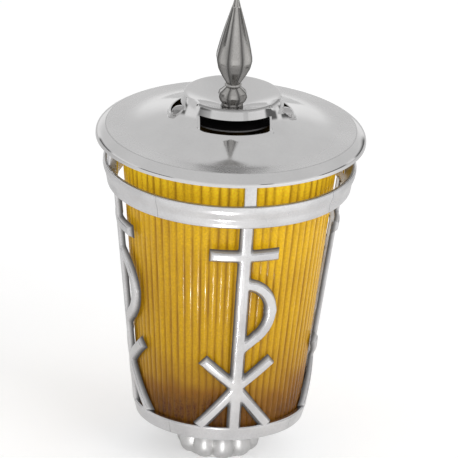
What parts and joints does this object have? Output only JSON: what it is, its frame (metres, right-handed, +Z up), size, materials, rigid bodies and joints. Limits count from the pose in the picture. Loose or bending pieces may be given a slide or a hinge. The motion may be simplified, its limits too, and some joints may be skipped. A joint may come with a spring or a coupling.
{
  "type": "sanctuary lamp",
  "caption": "Free-standing sanctuary lamp: ribbed amber glass in an openwork metal frame, with a vented lift-off lid, a faceted finial and a refill candle inside.",
  "frame": {"origin": "centre of the foot's underside, on the surface that the lamp stands on", "axes": "+Z up along the axis of the lamp, the front monogram faces -Y"},
  "size_m": [0.15, 0.15, 0.2705],
  "materials": {
    "frame_metal": "cast, polished and nickel plated",
    "lid_metal": "mirror polished",
    "finial_metal": "polished facets",
    "sheet_steel": "plain sheet",
    "screw_steel": "zinc plated",
    "brass": "turned",
    "amber_glass": "ribbed, amber through and through",
    "gasket": "matt",
    "candle_cup": "thin translucent",
    "wax": "satin wax",
    "wick": "braided cotton"
  },
  "bodies": {
    "lamp": {"frame_quarter_front": "frame_metal", "frame_quarter_right": "frame_metal", "frame_quarter_back": "frame_metal", "frame_quarter_left": "frame_metal", "foot": "frame_metal", "fixing_insert": "brass", "base_pan": "sheet_steel", "base_screws": "screw_steel", "foot_screws": "screw_steel", "candle_tray": "sheet_steel", "tray_screw": "screw_steel", "glass": "amber_glass", "lower_gasket": "gasket", "upper_gasket": "gasket", "seat_ring": "frame_metal", "seat_ring_screws": "screw_steel"},
    "lid": {"lid_shell": "lid_metal", "finial": "finial_metal", "lid_stud": "screw_steel", "crown_washer": "screw_steel", "shield_spacer": "screw_steel", "heat_shield": "sheet_steel", "shield_washer": "screw_steel", "shield_nut": "screw_steel"},
    "candle": {"candle_cup": "candle_cup", "candle_wax": "wax", "wick": "wick", "wick_sustainer": "sheet_steel"}
  },
  "joints": [
    {"name": "lid_lift", "type": "slide", "parent": "lamp", "child": "lid", "axis": [0, 0, 1], "range_m": [0, 0.1]},
    {"name": "candle_lift", "type": "slide", "parent": "lamp", "child": "candle", "axis": [0, 0, 1], "range_m": [0, 0.035]}
  ]
}
